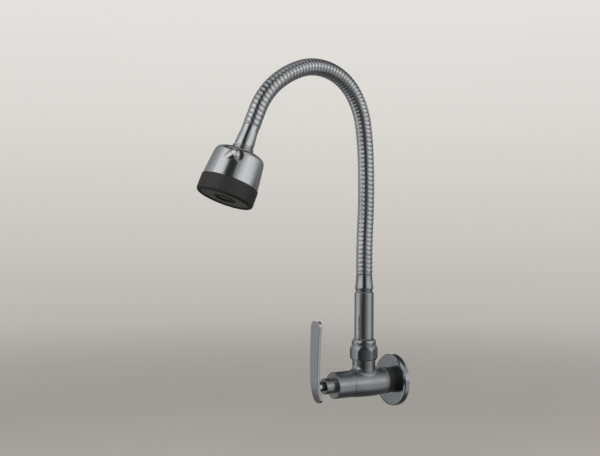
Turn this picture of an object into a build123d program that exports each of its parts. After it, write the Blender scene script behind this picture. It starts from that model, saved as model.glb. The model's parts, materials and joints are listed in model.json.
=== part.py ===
from build123d import *
import os
from math import asin, cos, degrees, radians, sin

# Flexible kitchen tap for one water feed, mounted on a wall.
# The origin is on the axis of the inlet at the wall plane. +Y points into the wall,
# -Y points forward and +Z points up. Sizes are in millimetres, angles in degrees.
# Distances "forward" run from the wall plane along -Y, heights run along +Z, and
# heights on the head run along its own axis, from the seam of the bell up to the hose.

# Clearances
running_play = 0.05
turning_gap = 0.3
thread_play = 0.1
disc_lap = 0.05

# Wall flange
flange_radius = 26.9
flange_face_radius = 24.6
flange_depth = 6.0
flange_rim = 4.8
flange_wall = 1.3
flange_roll = 0.8
flange_lip_drop = 0.2
flange_bore_play = 0.3

# Inlet tail and valve body
shank_radius = 10.48
shank_length = 9.5
shank_chamfer = 1.2
tail_land = 1.5
tail_land_radius = 10.65
tail_insert = 10.0
tail_insert_radius = 9.3
inlet_radius = 6.5
body_back_radius = 13.0
body_belly_radius = 14.6
body_belly_setback = 2.0
body_front_radius = 13.5
spout_reach = 33.0
seam_reach = 18.4
seam_chamfer = 0.25
chamber_radius = 9.4
seat_wall = 2.5
seat_port_radius = 4.8
seat_setback = 1.0
neck_radius = 12.0
neck_height = 23.6
neck_fillet = 6.0
neck_bore_radius = 8.5
spigot_radius = 10.9
spigot_height = 10.4

# Headwork inside the body and the bonnet
seal_height = 2.5
seal_stand = 2.0
disc_height = 3.0
disc_radius = 7.4
disc_port_inner = 1.8
disc_port_outer = 5.6
disc_port_angle = 78.0
housing_radius = 8.6
housing_bore = 7.5
window_width = 7.0
housing_collar = 3.0
gasket_height = 1.0
gasket_radius = 11.2
hexagon_flats = 20.0
hexagon_height = 6.0
nose_radius = 6.2
plate_radius = 6.9
plate_height = 2.5
tongue_width = 2.8
tongue_depth = 1.0
spindle_radius = 3.95
spindle_groove_width = 2.2
spindle_groove_radius = 2.9
square_side = 5.0
square_length = 6.4

# Bonnet, gland sleeve and lever
bonnet_length = 19.5
bonnet_bore_radius = 12.0
bonnet_wall = 2.0
bonnet_edge = 0.5
gland_radius = 8.0
gland_length = 11.4
gland_wall = 1.8
gland_edge = 0.6
hub_radius = 4.2
hub_socket_spare = 0.2
lever_reach = 11.8
lever_apex_height = 12.0
lever_top = 66.0
lever_bottom = 16.0
lever_width = 16.7
lever_foot_width = 12.2
lever_thickness = 3.5
lever_upper_bow = 690.0
lever_lower_bow = 78.0
lever_corner = 5.0
lever_edge = 0.7
grub_radius = 1.6
grub_length = 1.7
grub_key = 1.8
grub_reach = 3.7

# Swivelling spout
nut_flats = 26.6
nut_height = 15.8
nut_lower_chamfer = 2.8
nut_lower_rise = 2.2
nut_upper_rise = 4.0
collar_radius = 13.0
collar_height = 6.3
collar_edge = 2.4
ring_height = 2.8
ring_split = 1.2
foot_start = 4.6
foot_bore = 6.0
foot_waist = 7.4
foot_insert = 9.0
foot_groove_width = 2.6
foot_groove_radius = 6.9
foot_groove_inset = 4.0
tube_radius = 10.0
tube_socket_radius = 8.95
tube_bore_radius = 8.2
tube_visible = 47.7
tube_edge = 0.5

# End fittings of the ribbed hose
water_way = 5.0
washer_height = 1.5
lower_spigot = 11.4
lower_waist_radius = 8.6
lower_waist_height = 2.6
lower_bead_radius = 9.45
lower_bead_height = 3.4
lower_bead_step = 0.3
lower_bead_peak = 0.45
lower_taper_share = 0.6
lower_ferrule_height = 15.3
ferrule_tip_radius = 8.35
hose_socket_depth = 8.0
hose_spigot_radius = 7.0

# Ribbed hose
rib_pitch = 4.3
ribs_per_section = 8
rib_crest_radius = 8.5
rib_root_radius = 7.5
rib_groove = 1.8
hose_bore_radius = 4.5
joint_groove = 2.0
ball_radius = 6.6
ball_play = 0.15
lip_height = 1.8
ball_depth = 3.0
bore_stations = 2
bore_overrun = 0.6
hose_turns = (-3.0, 3.0, 2.5, 6.5, 26.5, 37.0, 36.5, 22.5, 26.5)

# Spray head, in heights above the seam between the bell and the black skirt
upper_ferrule_length = 22.3
upper_ferrule_radius = 9.5
upper_ferrule_taper = 0.3
upper_ferrule_share = 0.3
upper_spigot = 7.0
upper_spigot_radius = 6.9
head_washer_height = 1.2
head_collar_radius = 10.4
head_collar_height = 1.2
head_collar_edge = 0.35
bell_height = 36.0
bell_lip_radius = 27.6
bell_side_inset = 1.2
bell_shoulder_inset = 2.7
bell_shoulder_drop = 10.6
bell_round = 5.0
bell_round_share = 0.7
bell_top_radius = 10.9
bell_neck_rise = 1.3
bell_wall = 1.8
bell_neck_radius = 9.9
bell_boss_radius = 10.8
bell_thread_inset = 3.2
thread_depth = 8.0
skirt_overhang = 0.4
skirt_height = 16.5
skirt_edge = 3.0
skirt_wall = 3.5
skirt_ledge = 1.5
face_recess = 1.3
plate_thickness = 2.5
face_seal_height = 1.3
flange_plate_height = 2.5
core_radius = 9.5
core_chamber_radius = 7.0
core_tube_depth = 9.0
core_floor = 2.0
vane_clearance = 1.8
core_port_radius = 2.2
relief_port_count = 4
aerator_radius = 10.9
aerator_bore_radius = 7.6
aerator_stand = 0.7
aerator_edge = 0.5
aerator_socket = 4.0
mesh_thickness = 0.7
mesh_inset = 1.2
inner_ring_radius = 14.8
inner_ring_count = 12
outer_ring_radius = 19.6
outer_ring_count = 20
spray_hole_radius = 0.9
spray_hole_sides = 6

# Toggle on the side of the bell
toggle_bearing = -38.0
toggle_drop = 2.4
toggle_tilt = -35.0
toggle_turn = 36.0
toggle_boss_radius = 5.2
toggle_boss_edge = 0.8
toggle_boss_rise = 2.1
toggle_hub_radius = 3.3
toggle_hub_height = 2.4
toggle_tab_length = 3.5
toggle_tab_width = 6.6
toggle_tab_height = 3.4
toggle_tab_edge = 1.4
toggle_pin_radius = 1.5
toggle_pin_inner = 4.5
toggle_seal_radius = 3.0
toggle_seal_height = 1.8
vane_width = 8.4
vane_thickness = 1.4
vane_sleeve = 0.9
vane_drop = 6.2

os.makedirs("parts", exist_ok=True)

# Places along the body, forward of the wall
neck_forward = flange_depth + spout_reach
seat_forward = neck_forward - neck_bore_radius - seat_setback
seam_forward = neck_forward + seam_reach
bonnet_forward = seam_forward + bonnet_length
gland_forward = bonnet_forward + gland_length
disc_forward = seat_forward + seal_height
turning_forward = disc_forward + disc_height + disc_lap
plate_forward = turning_forward + disc_height
cavity_forward = plate_forward + plate_height + turning_gap
thread_forward = cavity_forward + housing_collar
hexagon_forward = seam_forward + gasket_height
nose_forward = gland_forward - gland_wall
hub_forward = gland_forward + turning_gap
lever_forward = gland_forward + lever_reach

# Heights on the spout axis
foot_bottom = chamber_radius + foot_start
spigot_top = neck_height + spigot_height
nut_shoulder = spigot_top + ring_height
foot_groove_bottom = spigot_top - turning_gap
tube_bottom = nut_shoulder + turning_gap
collar_bottom = neck_height + nut_height
nut_top = collar_bottom + collar_height
tube_top = nut_top + tube_visible
ledge_height = tube_top - lower_spigot - washer_height
bead_bottom = tube_top + lower_waist_height
hose_bottom = bead_bottom + lower_ferrule_height

# Lengths along the hose
section_count = len(hose_turns) + 1
section_length = rib_pitch * ribs_per_section
pivot_drop = joint_groove / 2 + lip_height
hose_length = section_length * section_count

# Planes of section hold the radius along X and the axis of turning along their Y
spout_y = -neck_forward
body_axis = Axis((0, 0, 0), (0, -1, 0))
body_section = Plane(origin=(0, 0, 0), x_dir=(1, 0, 0), z_dir=(0, 0, -1))
spout_axis = Axis((0, spout_y, 0), (0, 0, 1))
spout_section = Plane(origin=(0, spout_y, 0), x_dir=(1, 0, 0), z_dir=(0, -1, 0))
side_plane = Plane(origin=(0, 0, 0), x_dir=(0, -1, 0), z_dir=(-1, 0, 0))


def body_plane(forward):
    """Plane across the body, facing forward, with its own Y upwards."""
    return Plane(origin=(0, -forward, 0), x_dir=(1, 0, 0), z_dir=(0, -1, 0))


def spout_plane(height):
    """Level plane on the spout axis."""
    return Plane(origin=(0, spout_y, height), x_dir=(1, 0, 0), z_dir=(0, 0, 1))


def half_section(plane, *points):
    """Closed half-section through (radius, height) points."""
    with BuildSketch(plane) as sketch:
        with BuildLine():
            Polyline(*points, close=True)
        make_face()
    return sketch.sketch


def ring_section(plane, inner, outer, low, high):
    """Half-section of a plain ring."""
    return half_section(plane, (inner, low), (outer, low), (outer, high), (inner, high))


def disc_ports(plane):
    """The two sector ports of a ceramic disc."""
    half = disc_port_angle / 2
    with BuildSketch(plane) as sketch:
        with BuildLine():
            outer = CenterArc((0, 0), disc_port_outer, -half, disc_port_angle)
            inner = CenterArc((0, 0), disc_port_inner, -half, disc_port_angle)
            Line(inner @ 0, outer @ 0)
            Line(inner @ 1, outer @ 1)
        make_face()
        mirror(about=Plane.YZ)
    return sketch.sketch


def hose_plane(distance):
    """Plane square to the hose's centreline, at a distance from its lower end.

    The line starts and ends with half a section of straight run. Between them it
    turns forward by each of the hose_turns over one section's length.
    """
    half = section_length / 2
    forward = neck_forward
    height = hose_bottom
    heading = 0.0
    left = distance
    for length, turn in [(half, 0.0)] + [(section_length, turn) for turn in hose_turns]:
        run = min(left, length)
        half_turn = radians(turn) * run / length / 2
        chord = run * sin(half_turn) / half_turn if half_turn else run
        forward += chord * sin(heading + half_turn)
        height += chord * cos(heading + half_turn)
        heading += 2 * half_turn
        left -= run
    forward += left * sin(heading)
    height += left * cos(heading)
    return Plane(origin=(0, -forward, height), x_dir=(1, 0, 0),
                 z_dir=(0, -sin(heading), cos(heading)))


def hose_circles(number):
    """Distances and radii of the circles that the ribs of one section run through."""
    start = number * section_length
    circles = []
    for rib in range(ribs_per_section):
        foot = start + rib * rib_pitch
        rib_start = foot + (joint_groove if rib == 0 else rib_groove) / 2
        rib_last = rib == ribs_per_section - 1
        rib_end = foot + rib_pitch - (joint_groove if rib_last else rib_groove) / 2
        if rib > 0:
            circles.append((foot, rib_root_radius))
        circles.append((rib_start, rib_crest_radius))
        circles.append((rib_end, rib_crest_radius))
    return circles


def hose_section(number):
    """One ribbed length of the hose, with its ball below and its cup above."""
    start = number * section_length
    end = start + section_length
    foot = hose_socket_depth if number == 0 else pivot_drop + ball_depth
    head = hose_socket_depth if number == section_count - 1 else 0
    bore_start = start - foot - bore_overrun
    bore_step = (end + head + bore_overrun - bore_start) / bore_stations
    with BuildPart() as section:
        for distance, radius in hose_circles(number):
            with BuildSketch(hose_plane(distance)):
                Circle(radius)
        loft(ruled=True)
        if number == 0:
            with BuildSketch(hose_plane(start - hose_socket_depth)):
                Circle(hose_spigot_radius)
            extrude(amount=hose_socket_depth + rib_pitch)
        else:
            with Locations(hose_plane(start - pivot_drop)):
                Sphere(ball_radius, arc_size1=-degrees(asin(ball_depth / ball_radius)),
                       align=None)
        if number == section_count - 1:
            with BuildSketch(hose_plane(end - rib_pitch)):
                Circle(hose_spigot_radius)
            extrude(amount=hose_socket_depth + rib_pitch)
        for station in range(bore_stations + 1):
            with BuildSketch(hose_plane(bore_start + station * bore_step)):
                Circle(hose_bore_radius)
        loft(ruled=True, mode=Mode.SUBTRACT)
        if number < section_count - 1:
            with Locations(hose_plane(end - pivot_drop)):
                Sphere(ball_radius + ball_play, mode=Mode.SUBTRACT)
    return section.part


# Wall flange: a pressed dish whose flat face the body stands on
with BuildPart() as wall_flange:
    with BuildSketch(body_section):
        with BuildLine():
            Polyline(
                (shank_radius + flange_bore_play, flange_depth),
                (flange_face_radius, flange_depth),
                (flange_radius - flange_roll, flange_rim + flange_roll),
                (flange_radius, flange_rim),
                (flange_radius, 0),
                (flange_radius - flange_wall, 0),
                (flange_radius - flange_wall, flange_rim - flange_lip_drop),
                (flange_face_radius, flange_depth - flange_wall),
                (shank_radius + flange_bore_play, flange_depth - flange_wall),
                close=True,
            )
        make_face()
    revolve(axis=body_axis)
wall_flange.part.label = "wall_flange"
export_step(wall_flange.part, "parts/wall_flange.step")

# Inlet tail: the shank that goes in the wall, screwed in the body through the flange
tail_end = flange_depth + tail_insert
with BuildPart() as inlet_tail:
    revolve(half_section(
        body_section,
        (inlet_radius, -shank_length),
        (shank_radius - shank_chamfer, -shank_length),
        (shank_radius, shank_chamfer - shank_length),
        (shank_radius, flange_depth - tail_land),
        (tail_land_radius, flange_depth - tail_land),
        (tail_land_radius, flange_depth),
        (tail_insert_radius, flange_depth),
        (tail_insert_radius, tail_end),
        (inlet_radius, tail_end),
    ), axis=body_axis)
inlet_tail.part.label = "inlet_tail"
export_step(inlet_tail.part, "parts/inlet_tail.step")

# Valve body: the tee casting, bored from behind, from the front and from its neck
with BuildPart() as valve_body:
    with BuildSketch(body_section):
        with BuildLine():
            Polyline((0, seam_forward), (0, flange_depth), (body_back_radius, flange_depth))
            ThreePointArc(
                (body_back_radius, flange_depth),
                (body_belly_radius, neck_forward - body_belly_setback),
                (body_front_radius, seam_forward - seam_chamfer),
            )
            Polyline(
                (body_front_radius, seam_forward - seam_chamfer),
                (body_front_radius - seam_chamfer, seam_forward),
                (0, seam_forward),
            )
        make_face()
    revolve(axis=body_axis)
    with BuildSketch(spout_plane(0)):
        Circle(neck_radius)
    extrude(amount=neck_height)
    fillet(valve_body.edges(Select.LAST).sort_by(Axis.Z)[0:1], radius=neck_fillet)
    with BuildSketch(spout_plane(neck_height)):
        Circle(spigot_radius)
    extrude(amount=spigot_height)
    with BuildSketch(body_plane(seam_forward)):
        Circle(chamber_radius)
    extrude(amount=seat_forward - seam_forward, mode=Mode.SUBTRACT)
    with BuildSketch(body_plane(seat_forward)):
        Circle(seat_port_radius)
    extrude(amount=-2 * seat_wall, mode=Mode.SUBTRACT)
    with BuildSketch(body_plane(flange_depth)):
        Circle(tail_insert_radius + thread_play)
    extrude(amount=tail_insert, mode=Mode.SUBTRACT)
    with BuildSketch(body_plane(tail_end)):
        Circle(inlet_radius)
    extrude(amount=seat_forward - seat_wall - tail_end, mode=Mode.SUBTRACT)
    with BuildSketch(spout_plane(chamber_radius / 2)):
        Circle(neck_bore_radius)
    extrude(amount=spigot_top, mode=Mode.SUBTRACT)
valve_body.part.label = "valve_body"
export_step(valve_body.part, "parts/valve_body.step")

# Headwork: seal, housing and two ceramic discs
with BuildPart() as seat_seal:
    revolve(ring_section(body_section, seat_port_radius, housing_bore - thread_play,
                         seat_forward, disc_forward), axis=body_axis)
seat_seal.part.label = "seat_seal"
export_step(seat_seal.part, "parts/seat_seal.step")

with BuildPart() as headwork_housing:
    revolve(half_section(
        body_section,
        (0, seat_forward + seal_height - seal_stand),
        (housing_radius, seat_forward + seal_height - seal_stand),
        (housing_radius, thread_forward),
        (chamber_radius - thread_play, thread_forward),
        (chamber_radius - thread_play, hexagon_forward),
        (nose_radius, hexagon_forward),
        (nose_radius, nose_forward),
        (0, nose_forward),
    ), axis=body_axis)
    with BuildSketch(body_plane(hexagon_forward)):
        RegularPolygon(hexagon_flats / 2, 6, major_radius=False)
    extrude(amount=hexagon_height)
    with BuildSketch(body_plane(0)):
        Circle(housing_bore)
    extrude(amount=cavity_forward, mode=Mode.SUBTRACT)
    with BuildSketch(body_plane(0)):
        Circle(spindle_radius + running_play)
    extrude(amount=gland_forward, mode=Mode.SUBTRACT)
    with BuildSketch(body_plane(turning_forward)):
        Rectangle(window_width, 2 * chamber_radius)
        Rectangle(2 * chamber_radius, window_width)
    extrude(amount=cavity_forward - turning_forward, mode=Mode.SUBTRACT)
headwork_housing.part.label = "headwork_housing"
export_step(headwork_housing.part, "parts/headwork_housing.step")

with BuildPart() as headwork_gasket:
    revolve(ring_section(body_section, chamber_radius, gasket_radius,
                         seam_forward, hexagon_forward), axis=body_axis)
headwork_gasket.part.label = "headwork_gasket"
export_step(headwork_gasket.part, "parts/headwork_gasket.step")

with BuildPart() as fixed_disc:
    with BuildSketch(body_plane(disc_forward)):
        Circle(disc_radius)
        add(disc_ports(Plane.XY), mode=Mode.SUBTRACT)
    extrude(amount=disc_height)
fixed_disc.part.label = "fixed_disc"
export_step(fixed_disc.part, "parts/fixed_disc.step")

with BuildPart() as turning_disc:
    with BuildSketch(body_plane(turning_forward)):
        Circle(disc_radius - running_play)
        add(disc_ports(Plane.XY), mode=Mode.SUBTRACT, rotation=90)
    extrude(amount=disc_height)
    with BuildSketch(body_plane(plate_forward)):
        Rectangle(2 * disc_radius, tongue_width + 2 * thread_play)
    extrude(amount=-tongue_depth - thread_play, mode=Mode.SUBTRACT)
turning_disc.part.label = "turning_disc"
export_step(turning_disc.part, "parts/turning_disc.step")

# Spindle: drive plate with its tongue, sealed shaft and square end
with BuildPart() as spindle:
    seal_middle = hexagon_forward + hexagon_height / 2
    revolve(half_section(
        body_section,
        (0, plate_forward),
        (plate_radius, plate_forward),
        (plate_radius, plate_forward + plate_height),
        (spindle_radius, plate_forward + plate_height),
        (spindle_radius, seal_middle - spindle_groove_width / 2),
        (spindle_groove_radius, seal_middle - spindle_groove_width / 2),
        (spindle_groove_radius, seal_middle + spindle_groove_width / 2),
        (spindle_radius, seal_middle + spindle_groove_width / 2),
        (spindle_radius, hub_forward),
        (0, hub_forward),
    ), axis=body_axis)
    with BuildSketch(body_plane(plate_forward)):
        Rectangle(2 * plate_radius - 1, tongue_width)
    extrude(amount=-tongue_depth)
    with BuildSketch(body_plane(hub_forward)):
        Rectangle(square_side, square_side)
    extrude(amount=square_length)
spindle.part.label = "spindle"
export_step(spindle.part, "parts/spindle.step")

with BuildPart() as spindle_seal:
    revolve(ring_section(
        body_section, spindle_groove_radius, spindle_radius + running_play / 2,
        seal_middle - spindle_groove_width / 2 + thread_play,
        seal_middle + spindle_groove_width / 2 - thread_play), axis=body_axis)
spindle_seal.part.label = "spindle_seal"
export_step(spindle_seal.part, "parts/spindle_seal.step")

# Bonnet and gland sleeve
with BuildPart() as bonnet:
    revolve(half_section(
        body_section,
        (bonnet_bore_radius, seam_forward),
        (body_front_radius - seam_chamfer, seam_forward),
        (body_front_radius, seam_forward + seam_chamfer),
        (body_front_radius, bonnet_forward - bonnet_edge),
        (body_front_radius - bonnet_edge, bonnet_forward),
        (nose_radius + thread_play, bonnet_forward),
        (nose_radius + thread_play, bonnet_forward - bonnet_wall),
        (bonnet_bore_radius, bonnet_forward - bonnet_wall),
    ), axis=body_axis)
bonnet.part.label = "bonnet"
export_step(bonnet.part, "parts/bonnet.step")

with BuildPart() as gland_sleeve:
    revolve(half_section(
        body_section,
        (nose_radius + thread_play, bonnet_forward),
        (gland_radius, bonnet_forward),
        (gland_radius, gland_forward - gland_edge),
        (gland_radius - gland_edge, gland_forward),
        (spindle_radius + running_play, gland_forward),
        (spindle_radius + running_play, nose_forward),
        (nose_radius + thread_play, nose_forward),
    ), axis=body_axis)
gland_sleeve.part.label = "gland_sleeve"
export_step(gland_sleeve.part, "parts/gland_sleeve.step")

# Lever: a blade bowed in two tangent arcs, trimmed to its rounded outline, on a hub
with BuildPart() as lever:
    upper_angle = degrees(asin(lever_top / lever_upper_bow))
    lower_angle = degrees(asin((lever_bottom + 2 * lever_apex_height) / lever_lower_bow))
    upper_middle = (lever_forward - lever_upper_bow, lever_apex_height)
    lower_middle = (lever_forward - lever_lower_bow, lever_apex_height)
    with BuildSketch(side_plane) as blade_side:
        with BuildLine():
            front_up = CenterArc(upper_middle, lever_upper_bow, 0, upper_angle)
            front_down = CenterArc(lower_middle, lever_lower_bow, -lower_angle, lower_angle)
            back_up = CenterArc(upper_middle, lever_upper_bow - lever_thickness,
                                0, upper_angle)
            back_down = CenterArc(lower_middle, lever_lower_bow - lever_thickness,
                                  -lower_angle, lower_angle)
            Line(front_up @ 1, back_up @ 1)
            Line(front_down @ 0, back_down @ 0)
        make_face()
    extrude(amount=lever_width / 2, both=True)
    with BuildSketch(body_plane(hub_forward)):
        with BuildLine():
            Polyline(
                (-lever_foot_width / 2, -lever_bottom),
                (lever_foot_width / 2, -lever_bottom),
                (lever_width / 2, lever_top),
                (-lever_width / 2, lever_top),
                close=True,
            )
        make_face()
        fillet(vertices(), radius=lever_corner)
    extrude(amount=lever_reach, mode=Mode.INTERSECT)
    rims = lever.edges().filter_by(Axis.Y, reverse=True)
    fillet(rims.filter_by(lambda rim: abs(rim.center().Z - lever_apex_height) > 1),
           radius=lever_edge)
    with BuildSketch(body_plane(hub_forward)):
        Circle(hub_radius)
    extrude(amount=lever_forward - lever_thickness - hub_forward)
    with BuildSketch(body_plane(hub_forward)):
        Rectangle(square_side + thread_play, square_side + thread_play)
    extrude(amount=square_length + hub_socket_spare, mode=Mode.SUBTRACT)
    with BuildSketch(Plane(origin=(0, -hub_forward - grub_reach, 0), z_dir=(0, 0, -1))):
        Circle(grub_radius)
    extrude(amount=2 * hub_radius, mode=Mode.SUBTRACT)
lever.part.label = "lever"
export_step(lever.part, "parts/lever.step")

with BuildPart() as grub_screw:
    with BuildSketch(Plane(origin=(0, -hub_forward - grub_reach, -square_side / 2),
                           z_dir=(0, 0, -1))):
        Circle(grub_radius - running_play)
    extrude(amount=grub_length)
    with BuildSketch(Plane(origin=(0, -hub_forward - grub_reach,
                                   -square_side / 2 - grub_length), z_dir=(0, 0, -1))):
        RegularPolygon(grub_key / 2, 6, major_radius=False)
    extrude(amount=-grub_length / 2, mode=Mode.SUBTRACT)
grub_screw.part.label = "grub_screw"
export_step(grub_screw.part, "parts/grub_screw.step")

# Spout nut: a chamfered hexagon with a rounded collar, screwed on the body's spigot
with BuildPart() as spout_nut:
    nut_corner = nut_flats / 2 / cos(radians(30))
    with BuildSketch(spout_plane(neck_height)):
        RegularPolygon(nut_flats / 2, 6, major_radius=False)
    extrude(amount=nut_height)
    revolve(half_section(
        spout_section,
        (0, neck_height),
        (nut_corner - nut_lower_chamfer, neck_height),
        (nut_corner, neck_height + nut_lower_rise),
        (nut_corner, collar_bottom - nut_upper_rise),
        (collar_radius, collar_bottom),
        (0, collar_bottom),
    ), axis=spout_axis, mode=Mode.INTERSECT)
    with BuildSketch(spout_plane(collar_bottom)):
        Circle(collar_radius)
    extrude(amount=collar_height)
    fillet(spout_nut.edges().group_by(Axis.Z)[-1], radius=collar_edge)
    with BuildSketch(spout_plane(neck_height)):
        Circle(spigot_radius + thread_play)
    extrude(amount=nut_shoulder - neck_height, mode=Mode.SUBTRACT)
    with BuildSketch(spout_plane(nut_shoulder)):
        Circle(tube_radius + running_play)
    extrude(amount=nut_top - nut_shoulder, mode=Mode.SUBTRACT)
spout_nut.part.label = "spout_nut"
export_step(spout_nut.part, "parts/spout_nut.step")

# Slip ring: split plastic ring in the foot's waist, clamped by the nut
with BuildPart() as slip_ring:
    revolve(ring_section(spout_section, foot_waist + running_play, spigot_radius,
                         spigot_top, nut_shoulder), axis=spout_axis)
    with BuildSketch(spout_plane(spigot_top)):
        with Locations((spigot_radius, 0)):
            Rectangle(2 * (spigot_radius - foot_waist) + 2, ring_split)
    extrude(amount=ring_height, mode=Mode.SUBTRACT)
slip_ring.part.label = "slip_ring"
export_step(slip_ring.part, "parts/slip_ring.step")

# Spout foot: brass plug with two sealing rings, brazed in the tube
foot_radius = neck_bore_radius - running_play
seal_heights = (foot_bottom + foot_groove_inset, foot_groove_bottom - foot_groove_inset)
with BuildPart() as spout_foot:
    revolve(half_section(
        spout_section,
        (foot_bore, foot_bottom),
        (foot_radius, foot_bottom),
        (foot_radius, foot_groove_bottom),
        (foot_waist, foot_groove_bottom),
        (foot_waist, tube_bottom),
        (tube_socket_radius, tube_bottom),
        (tube_socket_radius, tube_bottom + foot_insert),
        (foot_bore, tube_bottom + foot_insert),
    ), axis=spout_axis)
    for height in seal_heights:
        revolve(ring_section(spout_section, foot_groove_radius, foot_radius + 1,
                             height - foot_groove_width / 2, height + foot_groove_width / 2),
                axis=spout_axis, mode=Mode.SUBTRACT)
spout_foot.part.label = "spout_foot"
export_step(spout_foot.part, "parts/spout_foot.step")

for name, height in zip(("spout_seal_lower", "spout_seal_upper"), seal_heights):
    with BuildPart() as spout_seal:
        revolve(ring_section(
            spout_section, foot_groove_radius, foot_radius + running_play / 2,
            height - foot_groove_width / 2 + thread_play,
            height + foot_groove_width / 2 - thread_play), axis=spout_axis)
    spout_seal.part.label = name
    export_step(spout_seal.part, f"parts/{name}.step")

# Spout tube, with a socket at each end
with BuildPart() as spout_tube:
    revolve(half_section(
        spout_section,
        (tube_socket_radius, tube_bottom),
        (tube_radius, tube_bottom),
        (tube_radius, tube_top - tube_edge),
        (tube_radius - tube_edge, tube_top),
        (tube_socket_radius, tube_top),
        (tube_socket_radius, ledge_height),
        (tube_bore_radius, ledge_height),
        (tube_bore_radius, tube_bottom + foot_insert),
        (tube_socket_radius, tube_bottom + foot_insert),
    ), axis=spout_axis)
spout_tube.part.label = "spout_tube"
export_step(spout_tube.part, "parts/spout_tube.step")

with BuildPart() as lower_washer:
    revolve(ring_section(spout_section, water_way, tube_socket_radius - thread_play,
                         ledge_height, ledge_height + washer_height), axis=spout_axis)
lower_washer.part.label = "lower_washer"
export_step(lower_washer.part, "parts/lower_washer.step")

# Lower ferrule: threaded spigot, narrow waist, rounded bead and a taper to the hose
with BuildPart() as lower_ferrule:
    with BuildSketch(spout_section):
        with BuildLine():
            bead_start = (lower_waist_radius + lower_bead_step, bead_bottom)
            bead_end = (lower_waist_radius + lower_bead_step,
                        bead_bottom + lower_bead_height)
            Polyline(
                (hose_spigot_radius + thread_play, hose_bottom),
                (hose_spigot_radius + thread_play, hose_bottom - hose_socket_depth),
                (water_way, hose_bottom - hose_socket_depth),
                (water_way, tube_top - lower_spigot),
                (tube_socket_radius - thread_play, tube_top - lower_spigot),
                (tube_socket_radius - thread_play, tube_top),
                (lower_waist_radius, tube_top),
                (lower_waist_radius, bead_bottom),
                bead_start,
            )
            ThreePointArc(bead_start,
                          (lower_bead_radius,
                           bead_bottom + lower_bead_peak * lower_bead_height),
                          bead_end)
            Polyline(
                bead_end,
                (ferrule_tip_radius, bead_bottom + lower_taper_share * lower_ferrule_height),
                (ferrule_tip_radius, hose_bottom),
                (hose_spigot_radius + thread_play, hose_bottom),
            )
        make_face()
    revolve(axis=spout_axis)
lower_ferrule.part.label = "lower_ferrule"
export_step(lower_ferrule.part, "parts/lower_ferrule.step")

# Ribbed hose, one node for each section
for number in range(section_count):
    ribbed = hose_section(number)
    ribbed.label = f"hose_section_{number + 1:02d}"
    export_step(ribbed, f"parts/{ribbed.label}.step")

# The head hangs on the line of the hose's upper end
hose_end = hose_plane(hose_length)
ferrule_bottom_height = bell_height + head_collar_height
bell_top_height = bell_height - bell_neck_rise
bell_shoulder_height = bell_height - bell_shoulder_drop
bell_side_radius = bell_lip_radius - bell_side_inset
bell_shoulder_radius = bell_lip_radius - bell_shoulder_inset
toggle_height = bell_shoulder_height - toggle_drop
toggle_boss_stand = bell_shoulder_radius + toggle_boss_rise
core_floor_top = toggle_height - vane_drop - vane_clearance
core_floor_bottom = core_floor_top - core_floor
head_up = -hose_end.z_dir
head_reach = ferrule_bottom_height + upper_ferrule_length
head_origin = hose_end.origin + hose_end.z_dir * head_reach
head_level = Plane(origin=head_origin, x_dir=(1, 0, 0), z_dir=head_up)
head_section = Plane(origin=head_origin, x_dir=(1, 0, 0),
                     z_dir=Vector(1, 0, 0).cross(head_up))
head_axis = Axis(head_origin, head_up)
ferrule_top_height = head_reach
spigot_bottom_height = bell_height - upper_spigot
core_top_height = spigot_bottom_height - head_washer_height


def head_plane(height):
    """Plane across the head's axis, facing the hose."""
    return head_level.offset(height)


with BuildPart() as upper_ferrule:
    revolve(half_section(
        head_section,
        (water_way, spigot_bottom_height),
        (upper_spigot_radius, spigot_bottom_height),
        (upper_spigot_radius, ferrule_bottom_height),
        (upper_ferrule_radius, ferrule_bottom_height),
        (upper_ferrule_radius - upper_ferrule_taper,
         ferrule_bottom_height + upper_ferrule_share * upper_ferrule_length),
        (ferrule_tip_radius,
         ferrule_top_height - upper_ferrule_share * upper_ferrule_length),
        (ferrule_tip_radius, ferrule_top_height),
        (hose_spigot_radius + thread_play, ferrule_top_height),
        (hose_spigot_radius + thread_play, ferrule_top_height - hose_socket_depth),
        (water_way, ferrule_top_height - hose_socket_depth),
    ), axis=head_axis)
upper_ferrule.part.label = "upper_ferrule"
export_step(upper_ferrule.part, "parts/upper_ferrule.step")

with BuildPart() as head_washer:
    revolve(ring_section(head_section, water_way, upper_spigot_radius,
                         core_top_height, spigot_bottom_height), axis=head_axis)
head_washer.part.label = "head_washer"
export_step(head_washer.part, "parts/head_washer.step")

with BuildPart() as head_collar:
    revolve(half_section(
        head_section,
        (upper_spigot_radius + thread_play, bell_height),
        (head_collar_radius - head_collar_edge, bell_height),
        (head_collar_radius, bell_height + head_collar_edge),
        (head_collar_radius, ferrule_bottom_height - head_collar_edge),
        (head_collar_radius - head_collar_edge, ferrule_bottom_height),
        (upper_spigot_radius + thread_play, ferrule_bottom_height),
    ), axis=head_axis)
head_collar.part.label = "head_collar"
export_step(head_collar.part, "parts/head_collar.step")

# Toggle: its pin runs along a radius of the head, so its plane faces outwards
toggle_out = (head_level.x_dir * cos(radians(toggle_bearing))
              + head_level.y_dir * sin(radians(toggle_bearing)))
toggle_origin = head_origin + head_up * toggle_height


def toggle_plane(reach, turn=0.0):
    """Plane across the toggle's pin, its own Y up along the head, turned about the pin."""
    sideways = head_up.cross(toggle_out)
    return Plane(origin=toggle_origin + toggle_out * reach,
                 x_dir=sideways * cos(radians(turn)) + head_up * sin(radians(turn)),
                 z_dir=toggle_out)


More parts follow.
